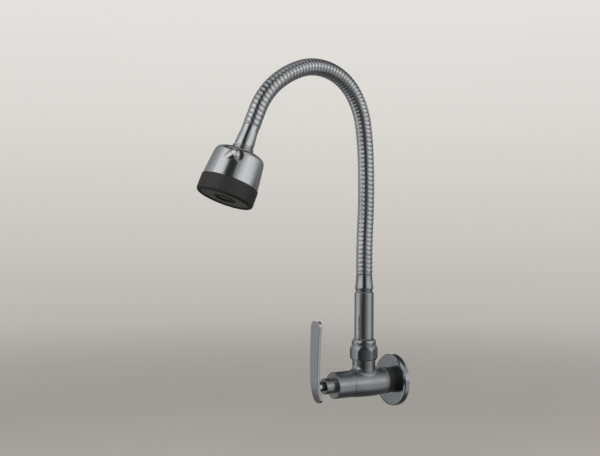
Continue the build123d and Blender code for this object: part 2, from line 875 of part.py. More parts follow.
# Head shell: the bell, hollow, with the toggle's boss on its side
shoulder_low = (bell_shoulder_radius, bell_shoulder_height)
shoulder_high = (bell_shoulder_radius - bell_round_share * bell_round,
                 bell_shoulder_height + bell_round)
with BuildPart() as head_shell:
    with BuildSketch(head_section):
        with BuildLine():
            side = ThreePointArc((bell_lip_radius, 0),
                                 (bell_side_radius, bell_shoulder_height / 2), shoulder_low)
            TangentArc(side @ 1, shoulder_high, tangent=side % 1)
            Polyline(
                shoulder_high,
                (bell_top_radius, bell_top_height),
                (bell_neck_radius, bell_height),
                (0, bell_height),
                (0, 0),
                (bell_lip_radius, 0),
            )
        make_face()
    revolve(axis=head_axis)
    with BuildSketch(toggle_plane(core_radius)):
        Circle(toggle_boss_radius)
    extrude(amount=toggle_boss_stand - core_radius)
    boss_face = head_shell.faces().sort_by(Axis(toggle_origin, toggle_out))[-1]
    fillet(boss_face.edges(), radius=toggle_boss_edge)
    revolve(half_section(
        head_section,
        (0, 0),
        (bell_lip_radius - bell_wall, 0),
        (bell_lip_radius - bell_wall, thread_depth),
        (bell_lip_radius - bell_thread_inset, thread_depth),
        (bell_shoulder_radius - bell_wall, bell_shoulder_height),
        (shoulder_high[0] - bell_wall, shoulder_high[1] - bell_wall),
        (bell_boss_radius, bell_top_height - 1.5 * bell_wall),
        (bell_boss_radius, core_top_height),
        (upper_spigot_radius + thread_play, core_top_height),
        (upper_spigot_radius + thread_play, bell_height),
        (0, bell_height),
    ), axis=head_axis, mode=Mode.SUBTRACT)
    with BuildSketch(toggle_plane(0)):
        Circle(toggle_pin_radius + running_play)
    extrude(amount=toggle_boss_stand, mode=Mode.SUBTRACT)
    with BuildSketch(toggle_plane(0)):
        Circle(toggle_seal_radius)
    extrude(amount=bell_shoulder_radius - bell_wall + toggle_seal_height, mode=Mode.SUBTRACT)
head_shell.part.label = "head_shell"
export_step(head_shell.part, "parts/head_shell.step")

seal_reach = bell_shoulder_radius - bell_wall
with BuildPart() as toggle_seal:
    with BuildSketch(toggle_plane(seal_reach)):
        Circle(toggle_seal_radius)
        Circle(toggle_pin_radius + running_play, mode=Mode.SUBTRACT)
    extrude(amount=toggle_seal_height)
toggle_seal.part.label = "toggle_seal"
export_step(toggle_seal.part, "parts/toggle_seal.step")

toggle_base = toggle_boss_stand + turning_gap
with BuildPart() as toggle:
    with BuildSketch(toggle_plane(toggle_base, toggle_tilt)):
        with Locations((toggle_tab_length / 2, 0)):
            SlotCenterToCenter(toggle_tab_length, toggle_tab_width)
    extrude(amount=toggle_tab_height)
    fillet(toggle.faces().sort_by(Axis(toggle_origin, toggle_out))[-1].edges(),
           radius=toggle_tab_edge)
    with BuildSketch(toggle_plane(toggle_base)):
        Circle(toggle_hub_radius)
    extrude(amount=toggle_hub_height)
    with BuildSketch(toggle_plane(toggle_base)):
        Circle(toggle_pin_radius)
    extrude(amount=toggle_hub_height / 2, mode=Mode.SUBTRACT)
toggle.part.label = "toggle"
export_step(toggle.part, "parts/toggle.step")

with BuildPart() as toggle_pin:
    with BuildSketch(toggle_plane(-toggle_pin_inner)):
        Circle(toggle_pin_radius)
    extrude(amount=toggle_base + toggle_hub_height / 2 + toggle_pin_inner)
toggle_pin.part.label = "toggle_pin"
export_step(toggle_pin.part, "parts/toggle_pin.step")

# Diverter vane: a flap under the pin, turned to one side as the tab is
with BuildPart() as diverter_vane:
    with BuildSketch(toggle_plane(-vane_width / 2, -toggle_turn / 2)):
        Circle(toggle_pin_radius + vane_sleeve)
        with Locations((0, -vane_drop / 2)):
            Rectangle(vane_thickness, vane_drop)
        Circle(toggle_pin_radius, mode=Mode.SUBTRACT)
    extrude(amount=vane_width)
diverter_vane.part.label = "diverter_vane"
export_step(diverter_vane.part, "parts/diverter_vane.step")

# Diverter body: chamber round the vane, wide plate and the tube to the aerator
plate_edge_radius = bell_lip_radius - bell_wall - thread_play
plate_bottom_height = thread_depth - flange_plate_height
with BuildPart() as diverter_body:
    revolve(half_section(
        head_section,
        (0, -core_tube_depth),
        (core_radius, -core_tube_depth),
        (core_radius, plate_bottom_height),
        (plate_edge_radius, plate_bottom_height),
        (plate_edge_radius, thread_depth),
        (core_radius, thread_depth),
        (core_radius, core_top_height),
        (0, core_top_height),
    ), axis=head_axis)
    with BuildSketch(head_plane(core_top_height)):
        Circle(water_way)
    extrude(amount=-2 * head_washer_height, mode=Mode.SUBTRACT)
    with BuildSketch(head_plane(core_top_height - head_washer_height)):
        Circle(core_chamber_radius)
    extrude(amount=core_floor_top - core_top_height + head_washer_height, mode=Mode.SUBTRACT)
    with BuildSketch(head_plane(-core_tube_depth)):
        Circle(core_chamber_radius)
    extrude(amount=core_tube_depth + core_floor_bottom, mode=Mode.SUBTRACT)
    with BuildSketch(head_plane(core_floor_bottom)):
        Circle(core_port_radius)
    extrude(amount=core_floor, mode=Mode.SUBTRACT)
    with BuildSketch(toggle_plane(0)):
        Circle(toggle_pin_radius + running_play)
    extrude(amount=core_radius + 1, mode=Mode.SUBTRACT)
    with BuildSketch(head_plane(plate_bottom_height)):
        with PolarLocations((core_radius + plate_edge_radius) / 2, relief_port_count):
            Circle(core_port_radius)
    extrude(amount=flange_plate_height, mode=Mode.SUBTRACT)
diverter_body.part.label = "diverter_body"
export_step(diverter_body.part, "parts/diverter_body.step")

# Black skirt, screwed into the bell, and what it holds
skirt_radius = bell_lip_radius + skirt_overhang
skirt_bore = skirt_radius - skirt_wall
skirt_top = plate_bottom_height - face_seal_height
face_height = face_recess - skirt_height
plate_back_height = face_height + plate_thickness
with BuildPart() as spray_skirt:
    revolve(half_section(
        head_section,
        (skirt_bore - skirt_ledge, plate_back_height),
        (skirt_bore, plate_back_height),
        (skirt_bore, -skirt_height),
        (skirt_radius, -skirt_height),
        (skirt_radius, 0),
        (bell_lip_radius - bell_wall - thread_play, 0),
        (bell_lip_radius - bell_wall - thread_play, skirt_top),
        (skirt_bore - skirt_ledge, skirt_top),
    ), axis=head_axis)
    outer_low = spray_skirt.edges().filter_by(GeomType.CIRCLE).group_by(head_axis)[0]
    fillet(outer_low.sort_by(SortBy.RADIUS)[-1:], radius=skirt_edge)
spray_skirt.part.label = "spray_skirt"
export_step(spray_skirt.part, "parts/spray_skirt.step")

with BuildPart() as face_seal:
    revolve(ring_section(head_section, skirt_bore - skirt_ledge, plate_edge_radius,
                         skirt_top, plate_bottom_height), axis=head_axis)
face_seal.part.label = "face_seal"
export_step(face_seal.part, "parts/face_seal.step")

with BuildPart() as nozzle_plate:
    with BuildSketch(head_plane(face_height)):
        Circle(skirt_bore - thread_play)
        Circle(aerator_radius + thread_play, mode=Mode.SUBTRACT)
        with PolarLocations(inner_ring_radius, inner_ring_count):
            RegularPolygon(spray_hole_radius, spray_hole_sides, mode=Mode.SUBTRACT)
        with PolarLocations(outer_ring_radius, outer_ring_count):
            RegularPolygon(spray_hole_radius, spray_hole_sides, mode=Mode.SUBTRACT)
    extrude(amount=plate_thickness)
nozzle_plate.part.label = "nozzle_plate"
export_step(nozzle_plate.part, "parts/nozzle_plate.step")

aerator_bottom = face_height - aerator_stand
with BuildPart() as aerator_ring:
    revolve(half_section(
        head_section,
        (aerator_bore_radius, aerator_bottom),
        (aerator_radius - aerator_edge, aerator_bottom),
        (aerator_radius, aerator_bottom + aerator_edge),
        (aerator_radius, aerator_socket - core_tube_depth),
        (core_radius + thread_play, aerator_socket - core_tube_depth),
        (core_radius + thread_play, -core_tube_depth),
        (aerator_bore_radius, -core_tube_depth),
    ), axis=head_axis)
aerator_ring.part.label = "aerator_ring"
export_step(aerator_ring.part, "parts/aerator_ring.step")

with BuildPart() as aerator_mesh:
    with BuildSketch(head_plane(aerator_bottom + mesh_inset)):
        Circle(aerator_bore_radius)
    extrude(amount=mesh_thickness)
aerator_mesh.part.label = "aerator_mesh"
export_step(aerator_mesh.part, "parts/aerator_mesh.step")
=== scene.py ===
import json
from math import cos, pi, radians, sin

import bmesh
import bpy
from mathutils import Matrix, Vector


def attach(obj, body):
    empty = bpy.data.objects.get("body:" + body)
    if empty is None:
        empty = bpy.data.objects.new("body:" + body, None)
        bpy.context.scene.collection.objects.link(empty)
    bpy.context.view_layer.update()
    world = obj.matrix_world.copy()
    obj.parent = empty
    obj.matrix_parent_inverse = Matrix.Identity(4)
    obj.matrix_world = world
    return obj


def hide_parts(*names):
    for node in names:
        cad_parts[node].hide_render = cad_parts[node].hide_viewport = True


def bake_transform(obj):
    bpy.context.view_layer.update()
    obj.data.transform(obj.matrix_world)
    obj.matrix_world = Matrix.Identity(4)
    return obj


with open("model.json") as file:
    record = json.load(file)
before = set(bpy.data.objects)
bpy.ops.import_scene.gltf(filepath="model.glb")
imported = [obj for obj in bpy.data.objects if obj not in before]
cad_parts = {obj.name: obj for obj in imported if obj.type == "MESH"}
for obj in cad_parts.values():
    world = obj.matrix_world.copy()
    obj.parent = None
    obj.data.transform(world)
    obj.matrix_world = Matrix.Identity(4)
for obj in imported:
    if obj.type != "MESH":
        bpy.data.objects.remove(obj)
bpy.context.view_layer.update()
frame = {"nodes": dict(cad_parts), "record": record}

MM = 0.001

# Edges that bend more than this stay sharp, in degrees: on the solids and on the pieces made here
solid_edge = 32
piece_edge = 60

# Points of a piece that are closer than this are one point, in metres
same_place = 0.000001

# Camera, in the frame of the part: level, to the right of the tap and in front of it
camera_place = Vector((0.72813, -0.54775, 0.15781))
camera_right = Vector((0.5097, 0.8604, 0.0051)).normalized()
camera_back = Vector((0.8604, -0.5097, -0.0015)).normalized()
camera_lens = 51.41
sensor_width = 36.0

# Line of the hose, in millimetres and degrees, as the solids have it
spout_forward = 39.0
hose_bottom = 111.3
section_length = 34.4
section_count = 10
pivot_drop = 2.8
hose_turns = (-3.0, 3.0, 2.5, 6.5, 26.5, 37.0, 36.5, 22.5, 26.5)
hose_length = section_length * section_count

# Wound strip, in millimetres; the groove's edge and the rows are shares of one turn, whose
# ends are in the groove
crest_radius = 8.5
crest_swell = 0.05
groove_depth = 0.82
groove_edge = 0.085
groove_steepness = 6
row_shares = (0.0, 0.035, 0.06, 0.08, 0.105, 0.15, 0.3, 0.5, 0.7, 0.85, 0.895, 0.92, 0.94, 0.965)
around_hose = 72
tucked_radius = 7.4
tuck_length = 0.9

# Length of one turn in millimetres, and its changes along the hose: middle, reach and size
plain_turn = 4.5
turn_changes = ((222, 52, -0.95), (318, 34, 0.35))

# Spray head, in its own frame: heights above the bell's seam, bearings from the right
head_drop = 59.5
bell_neck = 9.9
toggle_bearing = -38.0
toggle_height = 23.0
toggle_tilt = -27.0

# Toggle, in millimetres: the post's foot and the tab's base are distances from the head's axis,
# and the post's shoulder and top stand above the tab's base
post_radius = 2.1
post_foot = 22.5
toggle_base = 27.3
post_shoulder = 0.9
post_top = 1.2
post_bevel = 0.4
tab_middle = 2.6
tab_straight = 3.9
tab_width = 4.7
tab_wall = 0.8
tab_height = 3.2
dome_fullness = 0.85

# Dish beside the toggle and boss under it, in millimetres; the boss's tip and edge are shares
# of its width, and its fall is the power by which it gets lower
dish_depth = 0.75
dish_floor = 3.6
dish_rim = 7.8
dish_fade = 5
boss_rise = 1.7
boss_width = 5.6
boss_length = 11.0
boss_tip = 0.3
boss_edge = 0.7
boss_fall = 1.1

# Columns of the bell's mesh: narrow ones in degrees on each side of the toggle, wider ones elsewhere
narrow_column = 0.8
narrow_count = 40
wide_count = 185

# Nut on the spout's axis: its flats stand out in their middle, its corners are cut back
nut_flats = 26.6
flat_swell = 0.25
corner_cut = 0.3
nut_sharpness = 14.0

# Body's casting: where along Y, in metres, painted shade turns it matt black towards the flange, and
# between which heights it turns polished, with what they add to its roughness or take from it
painted_shade_end = -0.0158
painted_shade_fade = 0.0008
painted_shade_colour = (0.024, 0.024, 0.024)
painted_shade_dullness = 0.12
polish_start = 0.013
polish_end = 0.018
polish_gain = 0.15


def set_camera():
    """Camera at the photograph's place and angle."""
    data = bpy.data.cameras.new("camera")
    data.lens = camera_lens
    data.sensor_width = sensor_width
    data.clip_start = 0.01
    data.clip_end = 20
    camera = bpy.data.objects.new("camera", data)
    bpy.context.scene.collection.objects.link(camera)
    back = camera_back
    right = (camera_right - camera_right.dot(back) * back).normalized()
    up = back.cross(right)
    turn = Matrix((right, up, back)).transposed().to_4x4()
    camera.matrix_world = Matrix.Translation(camera_place) @ turn
    bpy.context.scene.camera = camera


class Nodes:
    """A node tree with short calls for adding and joining its nodes."""

    def __init__(self, tree):
        self.tree = tree
        tree.nodes.clear()

    def add(self, kind, **settings):
        """A new node; a setting that starts with in_ is the value of an input."""
        node = self.tree.nodes.new(kind)
        for name, value in settings.items():
            if name.startswith("in_"):
                node.inputs[name[3:].replace("_", " ")].default_value = value
            else:
                setattr(node, name, value)
        return node

    def join(self, out, into):
        self.tree.links.new(out, into)

    def math(self, operation, first, second=None):
        node = self.add("ShaderNodeMath", operation=operation)
        for socket, value in zip(node.inputs, (first, second)):
            if value is None:
                continue
            if isinstance(value, (int, float)):
                socket.default_value = value
            else:
                self.join(value, socket)
        return node.outputs[0]

    def smooth(self, value, low, high, first=0.0, last=1.0):
        """Value eased from first to last as it goes from low to high."""
        node = self.add("ShaderNodeMapRange", interpolation_type="SMOOTHSTEP")
        self.join(value, node.inputs["Value"])
        for name, number in (("From Min", low), ("From Max", high),
                             ("To Min", first), ("To Max", last)):
            node.inputs[name].default_value = number
        return node.outputs["Result"]

    def ramp(self, value, stops, easing="EASE"):
        """Colour ramp; a stop is (place, grey) or (place, (r, g, b))."""
        node = self.add("ShaderNodeValToRGB")
        node.color_ramp.interpolation = easing
        elements = node.color_ramp.elements
        while len(elements) < len(stops):
            elements.new(0.5)
        for element, (place, colour) in zip(elements, stops):
            element.position = place
            rgb = (colour,) * 3 if isinstance(colour, (int, float)) else colour
            element.color = (*rgb, 1)
        self.join(value, node.inputs["Fac"])
        return node.outputs["Color"]

    def noise(self, scale, detail=3.0, roughness=0.5, where=None):
        """Noise over the object, or over the place that is given."""
        node = self.add("ShaderNodeTexNoise", in_Scale=scale, in_Detail=detail,
                        in_Roughness=roughness)
        if where is None:
            where = self.add("ShaderNodeTexCoord").outputs["Object"]
        self.join(where, node.inputs["Vector"])
        return node.outputs["Fac"]

    def mix(self, factor, first, second):
        """Blend of two colours, each a colour or the output of a node."""
        node = self.add("ShaderNodeMix", data_type="RGBA")
        self.join(factor, node.inputs["Factor"])
        for name, value in (("A", first), ("B", second)):
            socket = [s for s in node.inputs if s.name == name and s.type == "RGBA"][0]
            if isinstance(value, tuple):
                socket.default_value = (*value, 1)
            else:
                self.join(value, socket)
        return [s for s in node.outputs if s.type == "RGBA"][0]


def new_material(name):
    """A material, its nodes and its shader."""
    material = bpy.data.materials.new(name)
    material.use_nodes = True
    nodes = Nodes(material.node_tree)
    out = nodes.add("ShaderNodeOutputMaterial")
    shader = nodes.add("ShaderNodeBsdfPrincipled")
    nodes.join(shader.outputs["BSDF"], out.inputs["Surface"])
    return material, nodes, shader


def bump(nodes, shader, height, strength, distance):
    node = nodes.add("ShaderNodeBump", in_Strength=strength, in_Distance=distance)
    nodes.join(height, node.inputs["Height"])
    nodes.join(node.outputs["Normal"], shader.inputs["Normal"])


def clouded(nodes, colour, dull, low, high):
    """Colour and roughness of metal, cloudy from handling."""
    clouds = nodes.noise(scale=38.0, detail=4.0, roughness=0.6)
    shade = nodes.mix(nodes.smooth(clouds, 0.35, 0.75), colour, dull)
    return shade, nodes.smooth(clouds, 0.3, 0.8, low, high)


def ripple(nodes, shader):
    """Faint ripple in the plating."""
    waves = nodes.noise(scale=120.0, detail=2.0)
    bump(nodes, shader, waves, strength=0.25, distance=0.00002)


def metal_material(name, colour, dull, low, high, metallic=1.0):
    """Polished or plain metal with small spots that are rougher."""
    material, nodes, shader = new_material(name)
    shade, cloudy = clouded(nodes, colour, dull, low, high)
    nodes.join(shade, shader.inputs["Base Color"])
    shader.inputs["Metallic"].default_value = metallic
    spots = nodes.noise(scale=900.0, detail=2.0)
    spotty = nodes.smooth(spots, 0.55, 0.8, last=0.04)
    nodes.join(nodes.math("ADD", cloudy, spotty), shader.inputs["Roughness"])
    ripple(nodes, shader)
    return material


def plastic_material(name, colour, pale, low, high):
    """Moulded plastic or rubber: fine grain, slight wear where it is handled."""
    material, nodes, shader = new_material(name)
    wear = nodes.noise(scale=60.0, detail=5.0, roughness=0.65)
    grain = nodes.noise(scale=2600.0, detail=2.0, roughness=0.6)
    worn = nodes.smooth(wear, 0.45, 0.8, last=0.35)
    nodes.join(nodes.mix(worn, colour, pale), shader.inputs["Base Color"])
    nodes.join(nodes.smooth(grain, 0.2, 0.8, low, high), shader.inputs["Roughness"])
    bump(nodes, shader, grain, strength=0.5, distance=0.00005)
    return material


def body_material(colour, dull, low, high):
    """The body's casting: satin, with a polished neck, and its end towards the wall painted matt
    black as shade.
    """
    material, nodes, shader = new_material("plated_body")
    shade, satin = clouded(nodes, colour, dull, low, high)
    parts = nodes.add("ShaderNodeSeparateXYZ")
    nodes.join(nodes.add("ShaderNodeTexCoord").outputs["Object"], parts.inputs[0])
    # Painted shade: near the flange the casting turns near black, matt and not metallic, standing in
    # for the shadow between body and flange.
    shaded_rear = nodes.smooth(parts.outputs["Y"], painted_shade_end - painted_shade_fade, painted_shade_end + painted_shade_fade)
    nodes.join(nodes.mix(shaded_rear, shade, painted_shade_colour), shader.inputs["Base Color"])
    nodes.join(nodes.math("SUBTRACT", 1.0, shaded_rear), shader.inputs["Metallic"])
    neck = nodes.smooth(parts.outputs["Z"], polish_start, polish_end)
    shine = nodes.math("MULTIPLY", neck, polish_gain)
    matt = nodes.math("MULTIPLY", shaded_rear, painted_shade_dullness)
    rough = nodes.math("ADD", nodes.math("SUBTRACT", satin, shine), matt)
    nodes.join(rough, shader.inputs["Roughness"])
    ripple(nodes, shader)
    return material


def ceramic_material():
    """Lapped ceramic of the two discs."""
    material, nodes, shader = new_material("lapped_ceramic")
    clouds = nodes.noise(scale=90.0)
    nodes.join(nodes.mix(clouds, (0.90, 0.90, 0.87), (0.84, 0.84, 0.80)),
               shader.inputs["Base Color"])
    nodes.join(nodes.smooth(clouds, 0.2, 0.8, 0.12, 0.22), shader.inputs["Roughness"])
    bump(nodes, shader, nodes.noise(scale=1500.0), strength=0.2, distance=0.00001)
    return material


# Materials by slot, each with its colour, its second colour and the range of its roughness
materials = {
    "chrome": metal_material("polished_chrome", (0.80, 0.81, 0.82), (0.74, 0.75, 0.77),
                             0.07, 0.12),
    "hose_chrome": metal_material("wound_chromed_strip", (0.84, 0.85, 0.86),
                                  (0.72, 0.73, 0.75), 0.14, 0.24),
    "brass": metal_material("machined_brass", (0.72, 0.56, 0.29), (0.60, 0.44, 0.20),
                            0.22, 0.34),
    "steel": metal_material("plain_steel", (0.55, 0.56, 0.57), (0.45, 0.46, 0.47), 0.28, 0.4),
    "rubber": plastic_material("moulded_rubber", (0.03, 0.03, 0.03), (0.07, 0.07, 0.07),
                               0.55, 0.75),
    "ceramic": ceramic_material(),
    "black_plastic": plastic_material("satin_black_plastic", (0.024, 0.024, 0.024),
                                      (0.038, 0.037, 0.037), 0.40, 0.52),
    "face_plastic": plastic_material("dark_grey_plastic", (0.15, 0.15, 0.155),
                                     (0.19, 0.19, 0.195), 0.42, 0.56),
    "core_plastic": plastic_material("pale_grey_plastic", (0.62, 0.62, 0.60),
                                     (0.70, 0.70, 0.67), 0.36, 0.5),
}

# Finishes of single pieces within those slots
# The casting's look is darker than polished chrome: partly its satin finish, partly painted shade
# for the dimmer light low on the tap, on body, bonnet and gland.
cast_and_shaded_look = ((0.54, 0.55, 0.56), (0.47, 0.48, 0.49), 0.27, 0.35)
cast_and_shaded_chrome = metal_material("plated_casting_and_shade", *cast_and_shaded_look)
pressed_chrome = metal_material("plated_pressing", (0.54, 0.55, 0.57), (0.46, 0.47, 0.49),
                                0.06, 0.10)
# Painted highlight: the toggle's chrome is near white and partly not metallic, so the lamps brighten
# it where a soft box's reflection would.
satin_highlight_chrome = metal_material("satin_highlight_chrome", (0.92, 0.92, 0.91), (0.86, 0.86, 0.86),
                              0.28, 0.34, metallic=0.7)
turned_chrome = metal_material("turned_chrome", (0.64, 0.65, 0.67), (0.56, 0.57, 0.59),
                               0.12, 0.18)
own_material = {"valve_body": body_material(*cast_and_shaded_look), "bonnet": cast_and_shaded_chrome,
                "gland_sleeve": cast_and_shaded_chrome, "wall_flange": pressed_chrome,
                "aerator_ring": materials["black_plastic"]}
slot_of = {entry["node"]: entry["material_slot"] for entry in frame["record"]["subparts"]}


def dress_nodes():
    """Each CAD node gets its own or its slot's material, and smooth shading."""
    for name, node in frame["nodes"].items():
        node.data.materials.clear()
        node.data.materials.append(own_material.get(name, materials[slot_of[name]]))
        node.data.shade_smooth()
        node.data.set_sharp_from_angle(angle=radians(solid_edge))


def eased(value):
    """Value kept between 0 and 1, with soft ends."""
    value = min(max(value, 0.0), 1.0)
    return value * value * (3 - 2 * value)


def bezier(knots, steps):
    """(radius, height) points of a cubic curve, without its last one."""
    line = []
    for k in range(steps):
        t = k / steps
        weights = ((1 - t) ** 3, 3 * t * (1 - t) ** 2, 3 * t * t * (1 - t), t ** 3)
        line.append(tuple(sum(weight * knot[i] for weight, knot in zip(weights, knots))
                          for i in (0, 1)))
    return line


def spline(knots, steps):
    """Smooth line through (radius, height) knots."""
    line = []
    for k in range(len(knots) - 1):
        before = knots[max(k - 1, 0)]
        start, end = knots[k], knots[k + 1]
        after = knots[min(k + 2, len(knots) - 1)]
        for n in range(steps):
            t = n / steps
            line.append(tuple(
                0.5 * (2 * start[i] + (end[i] - before[i]) * t
                       + (2 * before[i] - 5 * start[i] + 4 * end[i] - after[i]) * t ** 2
                       + (3 * start[i] - before[i] - 3 * end[i] + after[i]) * t ** 3)
                for i in (0, 1)))
    return line + [knots[-1]]


def grid_faces(rows, columns):
    """Quads between rows of points, each row as long as columns."""
    return [(row * columns + k, row * columns + k + 1,
             (row + 1) * columns + k + 1, (row + 1) * columns + k)
            for row in range(rows - 1) for k in range(columns - 1)]


def mesh_piece(name, points, faces, slot, material=None):
    """A smooth-shaded piece in the frame of the part, with points in one place made one. Its
    material is its slot's, unless one is given."""
    mesh = bpy.data.meshes.new(name)
    mesh.from_pydata(points, [], faces)
    edit = bmesh.new()
    edit.from_mesh(mesh)
    bmesh.ops.remove_doubles(edit, verts=edit.verts, dist=same_place)
    bmesh.ops.recalc_face_normals(edit, faces=edit.faces)
    edit.to_mesh(mesh)
    edit.free()
    mesh.shade_smooth()
    mesh.set_sharp_from_angle(angle=radians(piece_edge))
    piece = bpy.data.objects.new(name, mesh)
    bpy.context.scene.collection.objects.link(piece)
    mesh.materials.append(material or materials[slot])
    return piece


def lathe_piece(name, origin, up, profile, slot, body, around=96, material=None):
    """Surface of revolution of (radius, height) points in millimetres round the axis up."""
    side = up.orthogonal().normalized()
    other = up.cross(side)
    points = []
    for radius, height in profile:
        for k in range(around + 1):
            angle = 2 * pi * (k % around) / around
            points.append(origin + (up * height + (side * cos(angle) + other * sin(angle))
                                    * radius) * MM)
    piece = mesh_piece(name, points, grid_faces(len(profile), around + 1), slot, material)
    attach(piece, body)
    return piece


def hose_point(distance):
    """Point on the hose's centreline, in metres, and its heading from upright to forward."""
    forward = spout_forward
    height = hose_bottom
    heading = 0.0
    left = distance
    half = section_length / 2
    for length, turn in [(half, 0.0)] + [(section_length, turn) for turn in hose_turns]:
        run = min(left, length)
        half_turn = radians(turn) * run / length / 2
        chord = run * sin(half_turn) / half_turn if half_turn else run
        forward += chord * sin(heading + half_turn)
        height += chord * cos(heading + half_turn)
        heading += 2 * half_turn
        left -= run
    forward += left * sin(heading)
    height += left * cos(heading)
    return Vector((0, -forward, height)) * MM, heading


def turn_length(distance):
    """Length of one turn of the strip: closer together round the crown, wider at the head."""
    length = plain_turn
    for middle, reach, change in turn_changes:
        length += change * (1 / (1 + ((distance - middle) / reach) ** 4))
    return length


def hose_radius(share):
    """Radius over one turn: narrow groove at its ends, nearly flat crest between."""
    away = min(share, 1 - share) / groove_edge
    groove = 1 / (1 + away ** groove_steepness)
    return crest_radius - crest_swell * (2 * share - 1) ** 2 - groove_depth * groove


def turn_places():
    """Distance along the hose at each whole turn of the strip."""
    places = [0.0]
    while places[-1] < hose_length:
        places.append(places[-1] + turn_length(places[-1]))
    return places + [hose_length]


def distance_at(places, turns):
    """Distance along the hose after so many turns, kept between the hose's two ends."""
    whole = min(max(int(turns), 0), len(places) - 2)
    part = min(max(turns - whole, 0.0), 1.0)
    return min(places[whole] * (1 - part) + places[whole + 1] * part, hose_length)


def hose_piece(number, places, first, last):
    """The wound strip round one joint, from its turn first to its turn last."""
    turns = [whole + share for whole in range(first, last) for share in row_shares] + [last]
    points = []
    for turn in turns:
        for k in range(around_hose + 1):
            angle = 2 * pi * k / around_hose
            distance = distance_at(places, turn - k / around_hose)
            middle, heading = hose_point(distance)
            outward = Vector((0, -cos(heading), -sin(heading)))
            tuck = max(0.0, 1 - min(distance, hose_length - distance) / tuck_length)
            radius = hose_radius(turn % 1) * (1 - tuck) + tucked_radius * tuck
            points.append(middle + radius * MM * (sin(angle) * outward
                                                  - cos(angle) * Vector((1, 0, 0))))
    piece = mesh_piece(f"hose_strip_{number:02d}", points,
                       grid_faces(len(turns), around_hose + 1), "hose_chrome")
    pivot, heading = hose_point(number * section_length - pivot_drop)
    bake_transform(piece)
    if number == section_count - 1:
        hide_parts(f"hose_section_{number:02d}", f"hose_section_{number + 1:02d}")
    else:
        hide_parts(f"hose_section_{number:02d}")


def make_hose():
    """Nine pieces, each round one joint, that meet in the middle of the sections."""
    places = turn_places()
    first = 0
    for number in range(1, section_count):
        middle = (number + 0.5) * section_length
        last = sum(1 for place in places if place < middle)
        if number == section_count - 1:
            last = len(places)
        hose_piece(number, places, first, last)
        first = last


def make_lower_ferrule():
    """End fitting of the hose on the tube: a waist, a bead and a long taper."""
    profile = [(7.4, 93.4), (8.6, 93.4), (8.6, 95.3), (8.7, 95.7), (9.0, 96.0), (9.3, 96.4)]
    profile += spline(((9.45, 97.0), (9.4, 98.6), (9.15, 100.6), (8.85, 103.0), (8.6, 106.0),
                       (8.42, 109.0), (8.35, 110.9)), 4)
    profile += [(8.2, 111.2), (7.9, 111.3), (7.0, 111.3)]
    piece = lathe_piece("lower_ferrule_skin", Vector((0, -spout_forward * MM, 0)),
                        Vector((0, 0, 1)), profile, "chrome", "spout", material=pressed_chrome)
    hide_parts("lower_ferrule")


def head_place():
    """Origin of the head at the bell's seam, its up, right and front directions."""
    end, heading = hose_point(hose_length)
    down = Vector((0, -sin(heading), cos(heading)))
    up = -down
    right = Vector((1, 0, 0))
    return end + down * head_drop * MM, up, right, up.cross(right)


def make_upper_ferrule():
    """Conical end fitting above the head, in one smooth sweep."""
    origin, up = head_place()[:2]
    profile = [(8.2, 37.25), (9.1, 37.25), (9.35, 37.35), (9.5, 37.6)]
    profile += spline(((9.55, 38.2), (9.5, 41.0), (9.2, 45.0), (8.75, 49.5), (8.42, 53.5),
                       (8.35, 58.6)), 6)
    profile += [(8.33, 59.1), (8.2, 59.4), (7.9, 59.5), (7.0, 59.5)]
    piece = lathe_piece("ferrule_skin", origin, up, profile, "chrome", "head")
    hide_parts("upper_ferrule")


def toggle_place():
    """Point on the head's axis level with the toggle, its outward direction, and the tab's
    direction along the bell's side."""
    origin, up, right, front = head_place()
    out = right * cos(radians(toggle_bearing)) + front * sin(radians(toggle_bearing))
    tilt = radians(toggle_tilt)
    along = up.cross(out) * cos(tilt) + up * sin(tilt)
    return origin + up * toggle_height * MM, out, along


def make_toggle():
    """Fat domed thumb tab that reaches out from the post it turns on."""
    centre, out, along = toggle_place()
    across = out.cross(along)
    shoulder, top = toggle_base + post_shoulder, toggle_base + post_top
    profile = [(0.0, post_foot), (post_radius, post_foot), (post_radius, shoulder),
               (post_radius - post_bevel, top), (0.0, top)]
    lathe_piece("toggle_post", centre, out, profile, "chrome", "toggle", 60)
    # Outline of the tab from its underside to its top: share of its size, and height
    levels = [(0.0, 0.0), (0.88, 0.0), (0.97, 0.15), (1.0, 0.4), (1.0, tab_wall)]
    dome = tab_height - tab_wall
    levels += [(cos(radians(degree)) ** dome_fullness, tab_wall + dome * sin(radians(degree)))
               for degree in (10, 20, 30, 40, 50, 60, 68, 76, 83)] + [(0.0, tab_height)]
    around = 72
    points = []
    for share, height in levels:
        for k in range(around + 1):
            angle = 2 * pi * ((k % around) + 0.5) / around
            ahead = (tab_width / 2 * cos(angle)
                     + (tab_straight / 2 if cos(angle) > 0 else -tab_straight / 2))
            points.append(centre + (along * (tab_middle + share * ahead)
                                    + across * share * tab_width / 2 * sin(angle)
                                    + out * (toggle_base + height)) * MM)
    piece = mesh_piece("toggle_skin", points, grid_faces(len(levels), around + 1), "chrome",
                       satin_highlight_chrome)
    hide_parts("toggle")
    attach(piece, "toggle")


def bell_rows():
    """(radius, height) down the outside of the bell and a little way in under its lip."""
    neck = bezier(((bell_neck, 36.0), (9.95, 35.5), (10.2, 35.0), (10.9, 34.7)), 4)
    top = bezier(((10.9, 34.7), (14.4, 33.27), (17.9, 31.83), (21.4, 30.4)), 16)
    shoulder = bezier(((21.4, 30.4), (23.45, 29.56), (24.53, 28.0), (24.9, 25.4)), 16)
    side = bezier(((24.9, 25.4), (25.95, 17.0), (26.85, 8.4), (27.55, 0.35)), 46)
    lip = [(27.55, 0.35), (27.5, 0.12), (27.3, 0.0), (26.0, 0.0), (25.9, 2.0)]
    return neck + top + shoulder + side + lip


